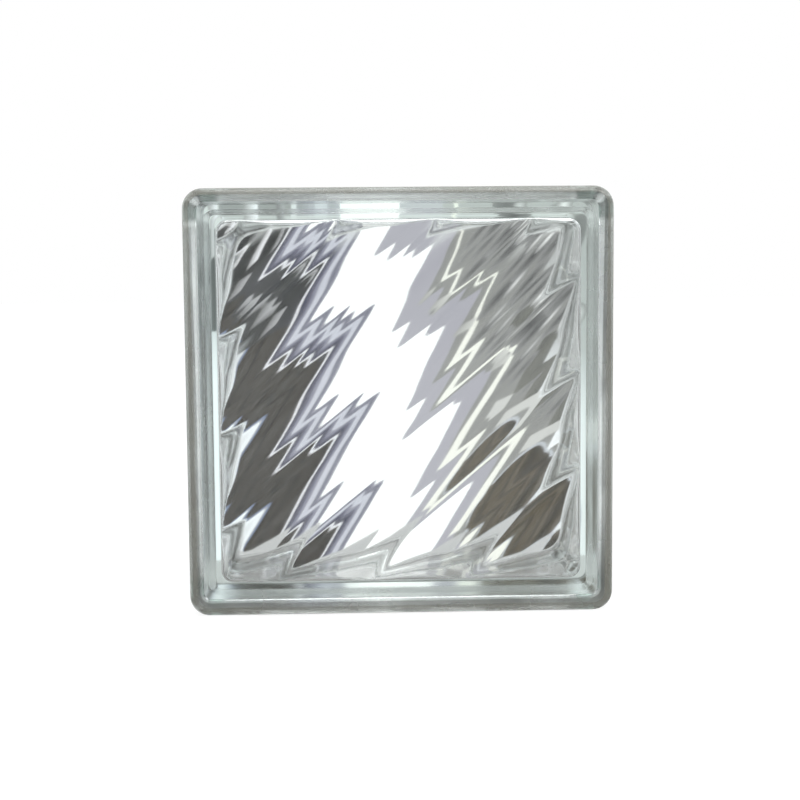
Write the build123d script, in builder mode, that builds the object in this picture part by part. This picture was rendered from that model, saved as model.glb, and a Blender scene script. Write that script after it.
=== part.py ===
from build123d import *
import math
import os

# Hollow glass block for walls and screens. Two pressed glass trays are fused
# rim to rim, which seals dry air between them. It stands on its edge: X is
# the width, Y the depth with the front face towards -Y, and Z is up.

# outline, seen from the front
face_size = 190.0
corner_radius = 9.0
block_depth = 80.0

# flange round each face, and the mortar channel between the two flanges
face_edge_radius = 3.8
flange_land = 7.0
flange_heel_radius = 1.2
channel_depth = 5.6
channel_slope_length = 5.0
channel_toe_radius = 2.0
channel_draft = 0.6

# bead of squeezed glass where the two trays are fused
seam_bead_height = 0.9
seam_bead_half_width = 1.8
seam_bead_radius = 0.8

# smaller bead on the inside of the same seam
inner_bead_height = 0.6
inner_bead_half_width = 1.3

# raised rim round the pane, on the outside
rim_width = 9.6
rim_height = 0.8
rim_bevel_width = 2.4
rim_corner_radius = 5.0
rim_edge_radius = 3.0

# hollow inside, pressed by a tapered plunger
wall_at_seam = 6.4
wall_at_pane = 8.2
hollow_corner_radius = 7.0
hollow_edge_radius = 3.2
pane_depth = 8.3

# shallow round flutes pressed corner to corner into the inside of each pane,
# with a narrow rounded ridge between two of them
flute_angle = 45.0
flute_pitch = 30.5
flute_depth = 2.3
flute_ridge_radius = 8.0
flute_offset = 0.3

# soda-lime glass, in kilograms per cubic millimetre
glass_density = 2.5e-6

# how near a plane an edge or face has to lie to count as lying in it
edge_tolerance = 0.01

# derived values
half_depth = block_depth / 2
centre_height = face_size / 2
flange_thickness = face_edge_radius + flange_land
channel_size = face_size - 2 * channel_depth
channel_start = flange_thickness + channel_slope_length
channel_length = half_depth - channel_start
channel_corner_radius = corner_radius - channel_depth
channel_slope_angle = math.degrees(math.atan2(channel_depth, channel_slope_length))
seam_size = channel_size - 2 * channel_length * math.tan(math.radians(channel_draft))
rim_inside = face_size - 2 * rim_width
rim_bevel_angle = math.degrees(math.atan2(rim_bevel_width, rim_height))
hollow_depth = half_depth - pane_depth
inner_bead_slope = math.degrees(math.atan2(inner_bead_height, inner_bead_half_width))
hollow_size = seam_size - 2 * wall_at_seam
hollow_draft = math.degrees(math.atan2(wall_at_pane - wall_at_seam, hollow_depth))
flute_reach = math.hypot(hollow_size, hollow_size) / 2
flute_radii = ((flute_pitch / 2) ** 2 + flute_depth**2) / (2 * flute_depth)
flute_groove_radius = flute_radii - flute_ridge_radius
flute_turn = math.asin(flute_pitch / 2 / flute_radii)


def plane_at(depth):
    """Sketch plane this far behind the front face, extruding to the back."""
    origin = (0, depth - half_depth, centre_height)
    return Plane(origin, x_dir=(1, 0, 0), z_dir=(0, 1, 0))


def edges_at(builder, depth):
    """Edges of a part that lie in the plane this far behind the front face."""
    level = depth - half_depth
    return builder.edges().filter_by_position(
        Axis.Y, level - edge_tolerance, level + edge_tolerance
    )


def face_at(builder, depth):
    """The flat face of a part that lies in that plane."""
    level = depth - half_depth
    return builder.faces().filter_by_position(
        Axis.Y, level - edge_tolerance, level + edge_tolerance
    )[0]


def flute_line():
    """Closed outline of the fluted glass, drawn across the flutes: grooves
    and ridges as tangent arcs, closed in front of the outside face."""
    groove_count = 2 * math.ceil((flute_reach + abs(flute_offset)) / flute_pitch) + 1
    half_groove = flute_groove_radius * math.sin(flute_turn)
    half_ridge = flute_pitch / 2 - half_groove
    groove_rise = flute_groove_radius * (1 - math.cos(flute_turn))
    groove_edge = hollow_depth - groove_rise
    first = flute_offset - (groove_count // 2) * flute_pitch
    for index in range(groove_count):
        middle = first + index * flute_pitch
        ridge = middle + flute_pitch / 2
        ThreePointArc(
            (middle - half_groove, groove_edge),
            (middle, hollow_depth),
            (middle + half_groove, groove_edge),
        )
        ThreePointArc(
            (middle + half_groove, groove_edge),
            (ridge, hollow_depth - flute_depth),
            (ridge + half_ridge, groove_edge),
        )
    left = first - half_groove
    right = left + groove_count * flute_pitch
    Polyline(
        (right, groove_edge),
        (right, block_depth),
        (left, block_depth),
        (left, groove_edge),
    )


# The plunger's form is the hollow of one tray: a tapered block with a soft
# edge, and the flutes pressed slantwise across its end.
with BuildPart() as plunger:
    seam_face = Plane((0, 0, centre_height), x_dir=(1, 0, 0), z_dir=(0, -1, 0))
    with BuildSketch(seam_face):
        RectangleRounded(hollow_size, hollow_size, hollow_corner_radius)
    extrude(amount=hollow_depth, taper=hollow_draft)
    end_edges = plunger.faces().sort_by(Axis.Y)[0].edges()
    fillet(end_edges, radius=hollow_edge_radius)

    # room for the inner bead, with a sloping side
    mouth_size = hollow_size - 2 * inner_bead_height
    mouth_corner_radius = hollow_corner_radius - inner_bead_height
    with BuildSketch(seam_face):
        RectangleRounded(face_size, face_size, corner_radius)
        RectangleRounded(mouth_size, mouth_size, mouth_corner_radius, mode=Mode.SUBTRACT)
    extrude(amount=inner_bead_half_width, taper=inner_bead_slope, mode=Mode.SUBTRACT)

    lean = math.radians(flute_angle)
    across_flutes = (math.sin(lean), 0, -math.cos(lean))
    along_flutes = (-math.cos(lean), 0, -math.sin(lean))
    flute_origin = (0, 0, centre_height)
    with BuildSketch(Plane(flute_origin, x_dir=across_flutes, z_dir=along_flutes)):
        with BuildLine():
            flute_line()
        make_face()
    extrude(amount=flute_reach, both=True, mode=Mode.SUBTRACT)

# The front tray: a flange round the face, a slope down to the mortar channel,
# and the channel's floor out to the seam, where the fusing left a bead.
with BuildPart() as front_half:
    with BuildSketch(plane_at(0)):
        RectangleRounded(face_size, face_size, corner_radius)
    extrude(amount=flange_thickness)
    with BuildSketch(plane_at(flange_thickness)):
        RectangleRounded(face_size, face_size, corner_radius)
    extrude(amount=channel_slope_length, taper=channel_slope_angle)
    with BuildSketch(plane_at(channel_start)):
        RectangleRounded(channel_size, channel_size, channel_corner_radius)
    extrude(amount=channel_length, taper=channel_draft)
    fillet(edges_at(front_half, flange_thickness), radius=flange_heel_radius)
    fillet(edges_at(front_half, channel_start), radius=channel_toe_radius)

    bead_start = half_depth - seam_bead_half_width
    bead_size = seam_size + 2 * seam_bead_height
    bead_corner_radius = channel_corner_radius + seam_bead_height
    with BuildSketch(plane_at(bead_start)):
        RectangleRounded(bead_size, bead_size, bead_corner_radius)
    extrude(amount=seam_bead_half_width)
    bead_face = face_at(front_half, bead_start)
    fillet(bead_face.outer_wire().edges(), radius=seam_bead_radius)

    fillet(edges_at(front_half, 0), radius=face_edge_radius)

    # the pane lies lower than its rim, with a soft bevel between them
    with BuildSketch(plane_at(0)):
        RectangleRounded(rim_inside, rim_inside, rim_corner_radius)
    extrude(amount=rim_height, taper=rim_bevel_angle, mode=Mode.SUBTRACT)
    bevel_top = face_at(front_half, 0).inner_wires()[0].edges()
    bevel_foot = face_at(front_half, rim_height).outer_wire().edges()
    fillet(bevel_top + bevel_foot, radius=rim_edge_radius)

    add(plunger.part, mode=Mode.SUBTRACT)

# The back tray comes from the same mould. It is turned to face the back, and
# a quarter turn in its own plane lets its flutes run along the front ones.
with BuildPart() as back_half:
    turned = front_half.part.rotate(Axis.Z, 180)
    quarter_turn = Axis((0, 0, centre_height), (0, 1, 0))
    add(turned.rotate(quarter_turn, -90))

front_half.part.label = "front_half"
back_half.part.label = "back_half"

os.makedirs("parts", exist_ok=True)
export_step(front_half.part, "parts/front_half.step")
export_step(back_half.part, "parts/back_half.step")

glass_volume = front_half.part.volume + back_half.part.volume
print("glass volume, cubic millimetres:", round(glass_volume))
print("mass, kilograms:", round(glass_volume * glass_density, 3))
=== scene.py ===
import math

import bpy
import numpy as np
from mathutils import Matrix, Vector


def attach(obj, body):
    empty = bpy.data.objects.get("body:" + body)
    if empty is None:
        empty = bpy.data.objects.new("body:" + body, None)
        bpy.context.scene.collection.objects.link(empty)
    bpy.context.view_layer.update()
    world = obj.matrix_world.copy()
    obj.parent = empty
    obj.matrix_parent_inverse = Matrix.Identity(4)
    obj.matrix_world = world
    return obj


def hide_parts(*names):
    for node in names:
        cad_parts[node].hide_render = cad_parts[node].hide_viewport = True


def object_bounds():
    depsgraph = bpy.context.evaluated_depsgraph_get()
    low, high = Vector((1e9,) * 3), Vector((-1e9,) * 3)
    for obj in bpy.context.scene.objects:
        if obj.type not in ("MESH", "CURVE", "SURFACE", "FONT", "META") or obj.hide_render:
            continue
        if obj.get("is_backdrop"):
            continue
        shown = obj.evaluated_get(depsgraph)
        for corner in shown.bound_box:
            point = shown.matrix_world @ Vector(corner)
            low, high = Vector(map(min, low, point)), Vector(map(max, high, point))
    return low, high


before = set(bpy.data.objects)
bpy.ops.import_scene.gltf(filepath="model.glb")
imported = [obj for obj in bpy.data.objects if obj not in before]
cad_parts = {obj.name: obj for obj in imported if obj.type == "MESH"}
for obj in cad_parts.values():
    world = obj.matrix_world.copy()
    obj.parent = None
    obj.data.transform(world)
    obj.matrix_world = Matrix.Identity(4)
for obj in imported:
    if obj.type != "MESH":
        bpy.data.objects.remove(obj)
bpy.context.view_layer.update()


# THE TWO FUSED TRAYS
# Clear soda-lime glass with a faint green tint. Each tray is pressed hot, with
# shallow slanting flutes on the inside of its pane, and the two are fused rim
# to rim into one sealed block, so they are one piece of glass here.

mm = 0.001
face_half = 95.0
centre_height = 0.095


def soften(corners, steps, hold=0.25):
    """Points along a section line with its corners rounded. Each corner is
    (inset, depth, radius, round): radius rounds the section there, and round
    less the inset is the radius of the block's own corner at that place. A
    point is held this far from each end of a longer flat part."""
    points = []
    last = len(corners) - 1
    for index, (inset, depth, radius, round_) in enumerate(corners):
        here = np.array((inset, depth))
        if index in (0, last) or radius == 0:
            points.append((inset, depth, round_, index))
            continue
        before = np.array(corners[index - 1][:2]) - here
        after = np.array(corners[index + 1][:2]) - here
        before /= np.linalg.norm(before)
        after /= np.linalg.norm(after)
        half_angle = math.acos(np.clip(before @ after, -1, 1)) / 2
        middle = before + after
        middle = here + middle / np.linalg.norm(middle) * radius / math.sin(half_angle)
        start = here + before * radius / math.tan(half_angle) - middle
        end = here + after * radius / math.tan(half_angle) - middle
        turn = math.pi - 2 * half_angle
        for step in range(steps + 1):
            share = step / steps
            arm = math.sin((1 - share) * turn) * start + math.sin(share * turn) * end
            x, y = middle + arm / math.sin(turn)
            points.append((x, y, round_, index))
    line = [points[0][:3]]
    for one, two in zip(points, points[1:]):
        length = math.dist(one[:2], two[:2])
        if one[3] != two[3] and length > 3 * hold:
            share = hold / length
            for part in (share, 1 - share):
                line.append(tuple(a + (b - a) * part for a, b in zip(one[:3], two[:3])))
        line.append(two[:3])
    return line


def both_halves(line):
    """The section of the front tray, then of the back tray, as one line."""
    front = [(inset, -depth, round_) for inset, depth, round_ in line]
    back = [(inset, depth, round_) for inset, depth, round_ in reversed(line[:-1])]
    return front + back


def side_marks(count, crowding):
    """Places along a side, from -1 to 1 and closer together near its ends."""
    even = np.linspace(-1, 1, count + 1)
    return (1 - crowding) * even + crowding * np.sin(math.pi / 2 * even)


def rounded_square(inset, depth, round_, marks):
    """One ring of points round the block, clockwise as the front sees it."""
    half = face_half - inset
    radius = max(round_ - inset, 0.0)
    along = marks[:-1] * half
    across = np.full(len(along), half)
    if radius > 0:
        middle = half - radius
        arm = np.maximum(np.abs(along) - middle, 0.0)
        reach = np.hypot(arm, radius)
        bent = arm > 0
        across = np.where(bent, middle + radius * radius / reach, across)
        along = np.where(bent, np.sign(along) * (middle + radius * arm / reach), along)
    x = np.concatenate((along, across, -along, -across))
    z = np.concatenate((across, -along, -across, along))
    return np.stack((x, np.full(len(x), depth), z + centre_height / mm), 1)


def skin(rings):
    """Faces that join each ring to the next, facing away from the middle."""
    ring_size = len(rings[0])
    steps = np.arange(ring_size)
    nexts = (steps + 1) % ring_size
    starts = np.arange(len(rings) - 1)[:, None] * ring_size
    ends = starts + ring_size
    corners = (starts + steps, starts + nexts, ends + nexts, ends + steps)
    return np.stack(corners, -1).reshape(-1, 4)


# outside, from the pane out over the rim, the flange and the mortar channel
half_depth = 40.0
pane_level = 39.2
rim_round = 14.6
block_round = 9.0
bead_inset = 4.953
bead_half_width = 1.8
outside = soften(
    (
        (14.0, pane_level, 0, rim_round),  # flat edge of the pane
        (12.0, pane_level, 3.0, rim_round),  # foot of the rim's bevel
        (9.6, half_depth, 3.0, rim_round),  # top of the rim's bevel
        (0.0, half_depth, 3.8, block_round),  # rolled outer edge
        (0.0, 29.2, 1.2, block_round),  # heel of the flange
        (5.6, 24.2, 2.0, block_round),  # foot of the slope
        (5.834, bead_half_width, 0, block_round),  # channel floor at the bead
        (bead_inset, bead_half_width, 0.8, block_round),  # squeezed bead
        (bead_inset, 0.0, 0, block_round),  # the seam
    ),
    steps=6,
)
outside_marks = side_marks(count=56, crowding=0.7)
outside_rings = [rounded_square(*place, outside_marks) for place in both_halves(outside)]
ring_size = len(outside_rings[0])
outside_count = ring_size * len(outside_rings)
faces = skin(outside_rings).tolist()

# the middle of each pane is one flat face on the outside
faces.append(list(range(ring_size))[::-1])
faces.append(list(range(outside_count - ring_size, outside_count)))

# Inside, from the edge of the pane down the wall to the seam's inner bead. At
# an inset of hollow_round the corners have become sharp, and there the square
# grid of the fluted pane begins.
hollow_depth = 31.7
hollow_round = 19.253
hollow = soften(
    (
        (hollow_round, hollow_depth, 0, hollow_round),  # edge of the fluted pane
        (18.2, hollow_depth, 0, hollow_round),  # its corners already a little round
        (14.05, hollow_depth, 3.2, hollow_round),  # soft edge of the pane
        (12.333, 1.3, 0, hollow_round),  # wall at the inner bead
        (12.853, 0.0, 0, 19.853),  # the seam
    ),
    steps=7,
)
hollow_marks = side_marks(count=150, crowding=0.0)
hollow_rings = [rounded_square(*place, hollow_marks) for place in both_halves(hollow)]
hollow_faces = (skin(hollow_rings)[:, ::-1] + outside_count).tolist()
hollow_points = np.concatenate(hollow_rings)

# the two fluted panes are even grids, each sewn to its end of the wall
side = len(hollow_marks) - 1
pane_half = face_half - hollow_round
points = [np.concatenate(outside_rings), hollow_points]
total = outside_count + len(hollow_points)
steps = np.arange(side)
for ring_start, level, turned in (
    (outside_count, -hollow_depth, False),
    (total - 4 * side, hollow_depth, True),
):
    number = np.zeros((side + 1, side + 1), int)
    number[steps, side] = ring_start + steps
    number[side, side - steps] = ring_start + side + steps
    number[side - steps, 0] = ring_start + 2 * side + steps
    number[0, steps] = ring_start + 3 * side + steps
    inner = np.arange((side - 1) ** 2).reshape(side - 1, side - 1)
    number[1:side, 1:side] = total + inner
    x, z = np.meshgrid(hollow_marks[1:-1], hollow_marks[1:-1], indexing="ij")
    pane = np.stack((x, np.zeros_like(x), z), -1).reshape(-1, 3) * pane_half
    points.append(pane + (0, level, centre_height / mm))
    total += len(pane)
    cells = np.stack(
        (number[:-1, :-1], number[:-1, 1:], number[1:, 1:], number[1:, :-1]), -1
    ).reshape(-1, 4)
    if turned:
        cells = np.roll(cells[:, ::-1], 1, axis=1)
    hollow_faces += cells.tolist()


def put_in_scene(name, data):
    """A new object for a mesh, a lamp or a camera."""
    thing = bpy.data.objects.new(name, data)
    bpy.context.scene.collection.objects.link(thing)
    return thing


points = np.concatenate(points) * mm
blank_mesh = bpy.data.meshes.new("pressed_blank")
blank_mesh.from_pydata(points.tolist(), [], faces + hollow_faces)
blank_mesh.polygons.foreach_set("use_smooth", [True] * len(blank_mesh.polygons))
inside_mark = blank_mesh.attributes.new("inside", "FLOAT", "POINT")
inside_mark.data.foreach_set("value", (np.arange(total) >= outside_count).astype(float))
blank = put_in_scene("pressed_blank", blank_mesh)


class Sum:
    """One value in a node tree. Sums written with it add their own nodes."""

    def __init__(self, tree, node, out=0):
        self.tree = tree
        self.node = node
        self.socket = node.outputs[out] if node.outputs else None

    def output(self, out):
        return Sum(self.tree, self.node, out)

    def __add__(self, other):
        return maths("ADD", self, other)

    def __radd__(self, other):
        return maths("ADD", other, self)

    def __sub__(self, other):
        return maths("SUBTRACT", self, other)

    def __rsub__(self, other):
        return maths("SUBTRACT", other, self)

    def __mul__(self, other):
        return maths("MULTIPLY", self, other)

    def __rmul__(self, other):
        return maths("MULTIPLY", other, self)

    def __truediv__(self, other):
        return maths("DIVIDE", self, other)

    def __rtruediv__(self, other):
        return maths("DIVIDE", other, self)

    def __abs__(self):
        return maths("ABSOLUTE", self)


def add_node(tree, kind, settings=None, links=None, out=0):
    """Adds a node: its settings first, then what feeds its sockets."""
    node = tree.nodes.new(kind)
    for name, value in (settings or {}).items():
        setattr(node, name, value)
    for name, value in (links or {}).items():
        if isinstance(value, Sum):
            tree.links.new(value.socket, node.inputs[name])
        else:
            node.inputs[name].default_value = value
    return Sum(tree, node, out)


def maths(operation, *values):
    """One Math node, in the tree of those values that are no plain numbers."""
    tree = next(value.tree for value in values if isinstance(value, Sum))
    return add_node(tree, "ShaderNodeMath", {"operation": operation}, dict(enumerate(values)))


def fade(value, start, end, first, last):
    """Goes smoothly from first to last while the value goes from start to end."""
    return add_node(
        value.tree,
        "ShaderNodeMapRange",
        {"interpolation_type": "SMOOTHSTEP"},
        {0: value, 1: start, 2: end, 3: first, 4: last},
    )


def waves(place, per_metre, detail):
    """Smooth random waves all through the glass."""
    links = {"Vector": place, "Scale": per_metre, "Detail": detail}
    return add_node(place.tree, "ShaderNodeTexNoise", links=links)


def bare_tree(owner):
    """The emptied shader tree of a material or of the world."""
    owner.use_nodes = True
    owner.node_tree.nodes.clear()
    return owner.node_tree


# Clear pressed glass. Its skin has slow waves from the press, which are
# stronger on the walls of the hollow, and fine beads where the seam was fused.
clear_glass = bpy.data.materials.new("clear_pressed_glass")
tree = bare_tree(clear_glass)
place = add_node(tree, "ShaderNodeTexCoord", out="Object")
split = add_node(tree, "ShaderNodeSeparateXYZ", links={0: place})
across, depth, height = (split.output(axis) for axis in "XYZ")
above_middle = height - centre_height
from_seam = abs(depth)
from_middle = maths("MAXIMUM", abs(across), abs(above_middle))
slow_waves = waves(place, 28.0, 1.6)
fine_waves = waves(place, 160.0, 1.0)

near_seam = fade(from_seam, 0.6 * mm, 2.2 * mm, 1.0, 0.0)
bead_pitch = 2.6 * mm
along_seam = (across + height) * (2 * math.pi / bead_pitch) + slow_waves * 9.0
seam_beads = maths("SINE", along_seam) * near_seam
in_the_hollow = fade(from_middle, 84.0 * mm, 86.0 * mm, 1.0, 0.0)
behind_pane = fade(from_seam, 24.0 * mm, 29.0 * mm, 1.0, 0.0)
wall_waves = waves(place, 52.0, 0.0) * in_the_hollow * behind_pane

# how high each stands, in quarters of a millimetre
surface = slow_waves * 1.1 + fine_waves * 0.008 + seam_beads * 0.5 + wall_waves * 5.0
bump = add_node(
    tree, "ShaderNodeBump", links={"Height": surface, "Strength": 1.0, "Distance": 0.25 * mm}
)

# the mortar channel is softly frosted
on_the_side = fade(from_seam, 35.0 * mm, 36.8 * mm, 1.0, 0.0)
on_the_edge = fade(from_middle, 87.0 * mm, 88.0 * mm, 0.0, 1.0)
frosted = on_the_side * on_the_edge
gloss = 0.06 + fine_waves * 0.02 + frosted * (0.10 + slow_waves * 0.2)
tint = add_node(
    tree,
    "ShaderNodeMix",
    {"data_type": "RGBA"},
    {0: slow_waves, 6: (0.982, 0.992, 0.988, 1.0), 7: (0.988, 0.995, 0.993, 1.0)},
    out=2,
)
glass = add_node(
    tree,
    "ShaderNodeBsdfPrincipled",
    links={
        "Base Color": tint,
        "Roughness": gloss,
        "IOR": 1.52,
        "Transmission Weight": 1.0,
        "Normal": bump,
    },
)
green_depth = add_node(
    tree,
    "ShaderNodeVolumeAbsorption",
    links={"Color": (0.80, 0.96, 0.90, 1.0), "Density": 7.0},
)

# A thin dull coat gives mortar its grip. It covers the outer few millimetres
# of the flange, round its corners too, and is a little narrower higher up,
# which is painted light: it makes the top edge lighter, as light from above does.
core_half = 86.0 * mm
beyond = [maths("MAXIMUM", abs(way) - core_half, 0.0) for way in (across, above_middle)]
from_core = maths("SQRT", beyond[0] * beyond[0] + beyond[1] * beyond[1])
# painted light: the coat narrows towards the top, so the top edge looks lit from above
top_light_narrowing = maths("MAXIMUM", above_middle, 0.0) * 0.012
ragged = slow_waves * (0.6 * mm)
outer_edge = fade(from_core + ragged - top_light_narrowing, 5.0 * mm, 5.6 * mm, 0.0, 1.0)
cover = outer_edge * (0.22 + slow_waves * 0.6 + fine_waves * 0.16)
dull_coat = add_node(
    tree,
    "ShaderNodeBsdfPrincipled",
    links={"Base Color": (0.15, 0.145, 0.12, 1.0), "Roughness": 0.65, "Normal": bump},
)
coated = add_node(tree, "ShaderNodeMixShader", links={0: cover, 1: glass, 2: dull_coat})
add_node(tree, "ShaderNodeOutputMaterial", links={"Surface": coated, "Volume": green_depth})


def new_tree(name, sizes):
    """A geometry tree with named sizes, and what it is given for them."""
    tree = bpy.data.node_groups.new(name, "GeometryNodeTree")
    face = tree.interface
    face.new_socket("Geometry", in_out="INPUT", socket_type="NodeSocketGeometry")
    for size in sizes:
        face.new_socket(size, in_out="INPUT", socket_type="NodeSocketFloat")
    face.new_socket("Geometry", in_out="OUTPUT", socket_type="NodeSocketGeometry")
    given = add_node(tree, "NodeGroupInput")
    return tree, {name: given.output(name) for name in ("Geometry", *sizes)}


def make_piece(base, tree, sizes, name):
    """Runs a tree on a base object and keeps the result as a plain mesh."""
    modifier = base.modifiers.new(tree.name, "NODES")
    modifier.node_group = tree
    for item in tree.interface.items_tree:
        if item.in_out == "INPUT" and item.name in sizes:
            modifier[item.identifier] = sizes[item.name]
    seen = base.evaluated_get(bpy.context.evaluated_depsgraph_get())
    mesh = bpy.data.meshes.new_from_object(seen)
    mesh.name = name
    piece = put_in_scene(name, mesh)
    base.modifiers.remove(modifier)
    bpy.data.objects.remove(base)
    return piece


# The plunger's end presses the flutes: a round groove, a narrow round ridge,
# and so on, as arcs that meet smoothly. Near the wall its soft edge wins.
flute_pitch = 30.5 * mm
flute_depth = 2.3 * mm
flute_offset = 0.3 * mm
ridge_radius = 8.0 * mm
both_radii = ((flute_pitch / 2) ** 2 + flute_depth**2) / (2 * flute_depth)
groove_radius = both_radii - ridge_radius
flute_sizes = {
    "Flute pitch": flute_pitch,
    "Flute lean": math.radians(45),
    "Groove radius": groove_radius,
    "Groove half width": groove_radius * flute_pitch / 2 / both_radii,
    "Ridge radius": ridge_radius,
    "Flute depth": flute_depth,
    "Flute offset": flute_offset,
    "Hollow depth": hollow_depth * mm,
    "Soft meeting": 0.5 * mm,
}
tree, given = new_tree("press_flutes", flute_sizes)
place = add_node(tree, "GeometryNodeInputPosition")
split = add_node(tree, "ShaderNodeSeparateXYZ", links={0: place})
x, y, z = (split.output(axis) for axis in "XYZ")
lean = given["Flute lean"]
pitch = given["Flute pitch"]
groove = given["Groove radius"]
ridge = given["Ridge radius"]
slant = x * maths("SINE", lean) - (z - centre_height) * maths("COSINE", lean)
turns = (slant - given["Flute offset"]) / pitch
from_groove = abs(turns - maths("ROUND", turns)) * pitch
from_ridge = 0.5 * pitch - from_groove
in_groove = groove - maths("SQRT", groove * groove - from_groove * from_groove)
on_ridge = given["Flute depth"] - ridge + maths("SQRT", ridge * ridge - from_ridge * from_ridge)
is_groove = maths("LESS_THAN", from_groove, given["Groove half width"])
raised = is_groove * in_groove + (1.0 - is_groove) * on_ridge
pressed = maths("SMOOTH_MIN", abs(y), given["Hollow depth"] - raised, given["Soft meeting"])
moved = add_node(
    tree, "ShaderNodeCombineXYZ", links={0: x, 1: pressed * maths("SIGN", y), 2: z}
)
inside = add_node(tree, "GeometryNodeInputNamedAttribute", links={"Name": "inside"})
shaped = add_node(
    tree,
    "GeometryNodeSetPosition",
    links={"Geometry": given["Geometry"], "Selection": inside, "Position": moved},
)
plain = add_node(tree, "GeometryNodeRealizeInstances", links={0: shaped})
smooth = add_node(tree, "GeometryNodeSetShadeSmooth", links={0: plain})
finished = add_node(
    tree, "GeometryNodeSetMaterial", links={"Geometry": smooth, "Material": clear_glass}
)
add_node(tree, "NodeGroupOutput", links={0: finished})

glass_body = make_piece(blank, tree, flute_sizes, "glass_body")
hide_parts("front_half", "back_half")
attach(glass_body, "root")


# THE FLOOR
# A plain pale floor that runs into the pale background. Part of its paleness
# is light of its own, so that it looks the same through the block as beside
# it, and the rest is matt and takes the block's shadow.

floor_mesh = bpy.data.meshes.new("floor")
floor_mesh.from_pydata([(-4, -3, 0), (4, -3, 0), (4, 6, 0), (-4, 6, 0)], [], [(0, 1, 2, 3)])
floor = put_in_scene("floor", floor_mesh)
pale = bpy.data.materials.new("pale_floor")
tree = bare_tree(pale)
ray = add_node(tree, "ShaderNodeLightPath")
seen_straight = ray.output("Is Camera Ray")
not_bounced = 1.0 - ray.output("Is Diffuse Ray")
lit_share = not_bounced * 0.85
own_light = 0.54 + seen_straight * 0.52
matt = add_node(tree, "ShaderNodeBsdfDiffuse", links={"Color": (0.74, 0.74, 0.74, 1.0)})
lit = add_node(
    tree, "ShaderNodeEmission", links={"Color": (1.0, 1.0, 1.0, 1.0), "Strength": own_light}
)
mixed = add_node(tree, "ShaderNodeMixShader", links={0: lit_share, 1: matt, 2: lit})
add_node(tree, "ShaderNodeOutputMaterial", links={"Surface": mixed})
floor_mesh.materials.append(pale)
floor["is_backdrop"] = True


# THE CARDS BEHIND THE BLOCK
# Flat cards hung side by side behind the block, which light themselves and
# which only the glass sees. Each is an outline of places across and above the
# floor, in millimetres, and the light of each of its corners.

card_points = []
card_faces = []
card_light = []
cards_behind = 115.0
card_spacing = 0.02

# The cards reach far to both sides. Above the height of the block's pane they
# fade into a pale wall: they start to at wall_from and are gone at wall_full.
far = 350
wall_from = 176
wall_full = 198
pale_wall = (0.84, 0.86, 0.86)


def card(outline, *light):
    """Hangs one card a little nearer the block than the card before it. Its
    corners take these lights in turn."""
    start = len(card_points)
    depth = cards_behind - card_spacing * len(card_faces)
    card_points.extend((x * mm, depth * mm, z * mm) for x, z in outline)
    card_faces.append(list(range(start, len(card_points))))
    for corner in range(len(outline)):
        card_light.extend((*light[corner % len(light)], 1.0))


def upright(left, right, low, high, *light):
    """A card with upright edges, from its lower left corner round."""
    card(((left, low), (right, low), (right, high), (left, high)), *light)


def sideways(left, right):
    """The corner lights of a card that changes from left to right."""
    return left, right, right, left


def upwards(low, high):
    """The corner lights of a card that changes from its foot to its top."""
    return low, low, high, high


def neutral(level):
    """A light with no colour."""
    return level, level, level


def tall(left, right, light):
    """An upright card that fades into the pale wall above the block's pane."""
    upright(left, right, 0, wall_from, light)
    upright(left, right, wall_from, wall_full, *upwards(light, pale_wall))


def oval(x, z, across, up, light):
    """A card with a round top, standing on the floor."""
    below = 0.6
    turns = np.linspace(-below, math.pi + below, 41)
    card([(x + across * math.cos(a), max(z + up * math.sin(a), 0)) for a in turns], light)


def blob(x, z, across, up, middle, edge):
    """A leaning spot that fades from its middle to its edge."""
    lean = 0.5 * up
    turns = np.linspace(0, 2 * math.pi, 13)
    rim = [(x + across * math.cos(a) + lean * math.sin(a), z + up * math.sin(a)) for a in turns]
    for one, two in zip(rim, rim[1:]):
        card(((x, z), one, two), middle, edge, edge)


grey = (0.50, 0.51, 0.52)
white = (1.30, 1.30, 1.30)
upright(-far, far, 0, 400, pale_wall)
upright(-far, far, 0, wall_from, grey)

# on the left: a pale window edge, a dark board and its narrow pale stand
window_dull = (0.74, 0.77, 0.79)
window_lit = (1.12, 1.17, 1.21)
shaded_wall_by_board = (0.55, 0.58, 0.59)
near_black = neutral(0.05)
black = neutral(0.03)
board_top = 122
board_left = -90
board_right = -52.5
upright(-far, -91, 0, wall_from, (0.92, 0.95, 0.97))
upright(-110, -91, 0, 96, *sideways(window_dull, window_lit))
upright(-110, -91, 96, 160, window_dull, window_lit, (0.50, 0.52, 0.53), (0.70, 0.72, 0.73))
upright(
    -88, board_right, 0, board_top, *upwards((0.030, 0.022, 0.014), (0.055, 0.046, 0.036))
)
for left, right, glow in (
    (-81, -77, 0.075),
    (-74, -71, 0.022),
    (-67, -63.5, 0.062),
    (-58, -56, 0.018),
):
    foot = (glow * 0.6, glow * 0.5, glow * 0.4)
    top = (glow, glow * 0.9, glow * 0.8)
    upright(left, right, 0, board_top, *upwards(foot, top))
upright(-89.5, -87, 0, board_top, (0.24, 0.30, 0.46))
upright(board_left, board_right, board_top, wall_from, near_black, (0.07, 0.07, 0.08), black, black)
upright(board_left, board_right, wall_from, 200, *upwards(black, pale_wall))
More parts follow.
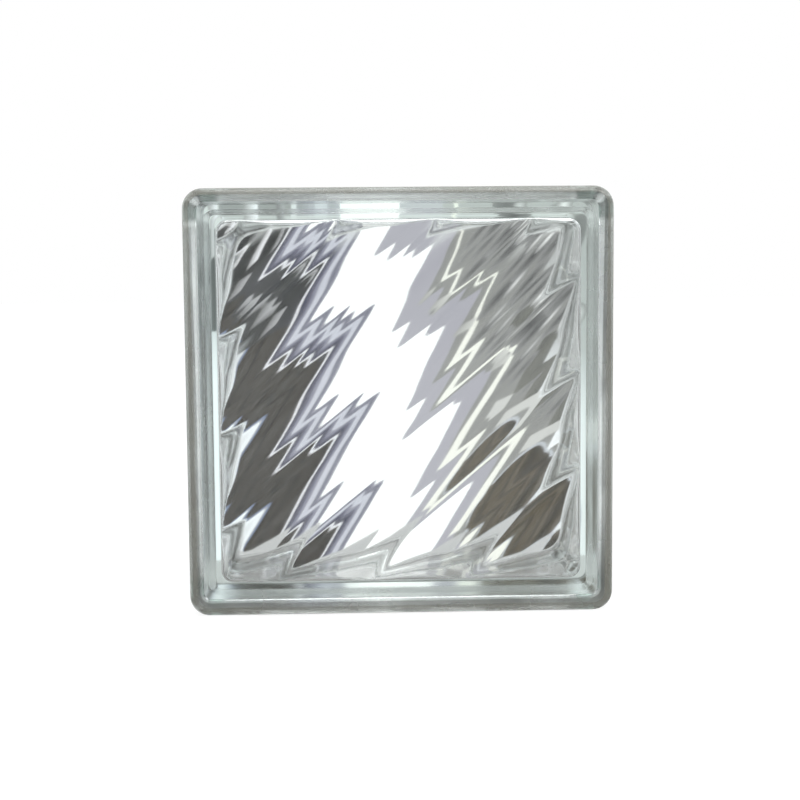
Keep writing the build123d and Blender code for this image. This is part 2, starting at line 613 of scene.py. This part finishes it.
# the wall beside the board, with painted shade that deepens towards the board
upright(-106, board_left, board_top, wall_from, shaded_wall_by_board, near_black, black, shaded_wall_by_board)
for left, low, high, wide, glow in (
    (-96, 158, 196, 5.0, 1.1),
    (-77, 152, 205, 7.0, 1.2),
    (-60, 156, 205, 4.0, 0.6),
    (-80, 124, 146, 12.0, 0.55),
):
    right = left + wide
    streak = ((left, low), (right, low + 6), (right, high), (left, high))
    card(streak, *sideways(neutral(glow * 0.35), (glow, glow, glow * 1.04)))
tall(board_right, -27, (0.30, 0.30, 0.38))
tall(board_right, -49.7, (1.0, 1.0, 1.05))
tall(-49.7, -46.5, (0.06, 0.06, 0.10))
tall(-46.5, -43.5, (0.14, 0.14, 0.20))
tall(-40, -33.5, (0.70, 0.71, 0.80))
tall(-32.5, -29.5, (0.22, 0.22, 0.28))

# in the middle: a broad white sheet, narrower at its top
white_edge = ((20, 0), (21, 60), (15, 105), (8, 145))
card(((-27, 0), *white_edge, (4, wall_full), (-27, wall_full)), white)

# on the right: a lavender strip, a narrow cream strip and grey cloth
lavender = (0.49, 0.48, 0.54)
cloth = (0.33, 0.33, 0.32)
cream = (1.1, 1.1, 1.02)
cloth_edge = ((38, 0), (36, 60), (34, 105), (30, 145), (28, wall_from))
card(((20, 0), *cloth_edge, (5, wall_from), *white_edge[:0:-1]), lavender)
card(
    ((5, wall_from), (28, wall_from), (26, wall_full), (4, wall_full)),
    *upwards(lavender, pale_wall),
)
card(((38, 0), (far, 0), (far, wall_from), *cloth_edge[:0:-1]), cloth)
card(
    ((28, wall_from), (far, wall_from), (far, wall_full), (26, wall_full)),
    *upwards(cloth, pale_wall),
)
cream_line = (
    (5, 31, 41),
    (45, 37, 46.5),
    (92, 42.5, 51),
    (122, 44, 50),
    (150, 38, 41),
    (198, 31, 33),
)
for (low, left, right), (high, high_left, high_right) in zip(cream_line, cream_line[1:]):
    card(((left, low), (right, low), (high_right, high), (high_left, high)), cream)
card(
    ((28, 120), (45, 120), (45, 129), (31, 129)),
    *sideways((0.45, 0.45, 0.44), (0.75, 0.75, 0.72)),
)
upright(77, 93, 72, 122, (0.20, 0.20, 0.18), (0.13, 0.13, 0.12))
# a wall at the far right, with painted light and shade: a lit edge, shade beside it and more light
# further out
shaded_wall_end = (0.66, 0.68, 0.68)
lit_wall_end = (0.92, 0.94, 0.95)
lit_wall_edge = (1.15, 1.18, 1.21)
upright(96, far, 0, wall_from, shaded_wall_end, lit_wall_end, lit_wall_end, (0.54, 0.55, 0.55))
upright(94, 112, 0, 60, *sideways(lit_wall_edge, shaded_wall_end))
upright(94, 112, 60, 110, lit_wall_edge, shaded_wall_end, (0.56, 0.57, 0.58), (0.62, 0.64, 0.64))
card(((60, 62), (98, 60), (98, 72), (62, 76)), (0.72, 0.72, 0.70))

# folds in the cloth, with painted shade in them and painted highlights on them
for x, z, across, up, glow in (
    (58, 140, 9, 17, 0.09),
    (74, 165, 10, 18, 0.08),
    (84, 138, 8, 17, 0.08),
    (92, 166, 8, 16, 0.10),
    (56, 170, 7, 16, 0.12),
    (64, 194, 9, 14, 0.14),
    (69, 144, 4, 10, 1.0),
    (80, 176, 5, 11, 1.2),
    (65, 183, 4, 10, 1.0),
    (90, 186, 4.5, 9, 1.1),
    (95, 127, 6, 9, 1.3),
    (61, 108, 7, 15, 0.15),
    (73, 98, 6, 12, 0.16),
    (67, 120, 3.5, 9, 0.70),
):
    blob(x, z, across, up, neutral(glow), neutral(0.33))

# and a round brown pot with a pale rim, low on the right
oval(71.5, 22, 28, 39.5, (0.66, 0.69, 0.74))
oval(71.5, 22, 26.5, 36.5, (0.060, 0.048, 0.030))
for left, right, low, high, glow in (
    (46.5, 52, 3, 42, (0.115, 0.095, 0.062)),
    (57, 66, 3, 54, (0.100, 0.078, 0.046)),
    (70, 74, 3, 57, (0.130, 0.105, 0.070)),
    (79, 84, 3, 54, (0.035, 0.028, 0.018)),
    (90, 95, 3, 42, (0.140, 0.120, 0.090)),
):
    upright(left, right, low, high, glow)

screen_mesh = bpy.data.meshes.new("cards")
screen_mesh.from_pydata(card_points, [], card_faces)
light_of_card = screen_mesh.attributes.new("light", "FLOAT_COLOR", "POINT")
light_of_card.data.foreach_set("color", card_light)
screen = put_in_scene("cards", screen_mesh)
screen.visible_camera = False
screen.visible_diffuse = False
screen.visible_shadow = False
lit_cards = bpy.data.materials.new("lit_cards")
tree = bare_tree(lit_cards)
lit_cards.cycles.emission_sampling = "NONE"
light = add_node(tree, "ShaderNodeAttribute", {"attribute_name": "light"})
glow = add_node(tree, "ShaderNodeEmission", links={"Color": light, "Strength": 1.0})
add_node(tree, "ShaderNodeOutputMaterial", links={"Surface": glow})
screen_mesh.materials.append(lit_cards)
screen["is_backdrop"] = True


# THE ROOM, THE LAMPS AND THE CAMERA
# A pale room, darker towards the camera and lighter overhead, which the camera
# sees as plain white. Two soft lamps hang to the right and above, and the
# camera stands in front of the block, a little above its middle.

world = bpy.data.worlds.new("pale_room")
bpy.context.scene.world = world
tree = bare_tree(world)
ray = add_node(tree, "ShaderNodeLightPath")
seen_straight = ray.output("Is Camera Ray")
aim = add_node(tree, "ShaderNodeTexCoord")
towards = add_node(tree, "ShaderNodeSeparateXYZ", links={0: aim})
beside = fade(towards.output("Y"), -0.85, -0.35, 0.25, 1.2)
upward = maths("MAXIMUM", towards.output("Z"), 0.0)
room_light = beside * (0.82 + upward * 0.8)
backdrop = add_node(
    tree, "ShaderNodeBackground", links={"Color": (1.0, 1.0, 1.0, 1.0), "Strength": 1.0}
)
room = add_node(
    tree, "ShaderNodeBackground", links={"Color": (0.95, 0.98, 1.0, 1.0), "Strength": room_light}
)
mixed = add_node(tree, "ShaderNodeMixShader", links={0: seen_straight, 1: room, 2: backdrop})
add_node(tree, "ShaderNodeOutputWorld", links={0: mixed})


def soft_lamp(name, place, aim, size, power):
    """A square lamp with a soft edge, turned to face a point."""
    light = bpy.data.lights.new(name, "AREA")
    light.size = size
    light.energy = power
    lamp = put_in_scene(name, light)
    lamp.location = place
    x, y, z = np.array(aim) - np.array(place)
    lamp.rotation_euler = (math.atan2(math.hypot(x, y), -z), 0.0, math.atan2(-x, y))


block_middle = (0, 0, 0.1)
soft_lamp("key_lamp", (0.7, -0.9, 1.6), block_middle, size=0.9, power=12.0)
soft_lamp("top_lamp", (0.0, -0.3, 1.7), block_middle, size=1.0, power=10.0)

view = bpy.data.cameras.new("camera")
view.lens = 66.04
camera = put_in_scene("camera", view)
camera.location = (-0.0200, -0.6862, 0.1550)
camera.rotation_euler = [math.radians(turn) for turn in (84.814, 0.495, -1.792)]
bpy.context.scene.camera = camera
bpy.context.scene.view_settings.view_transform = "Standard"

low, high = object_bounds()
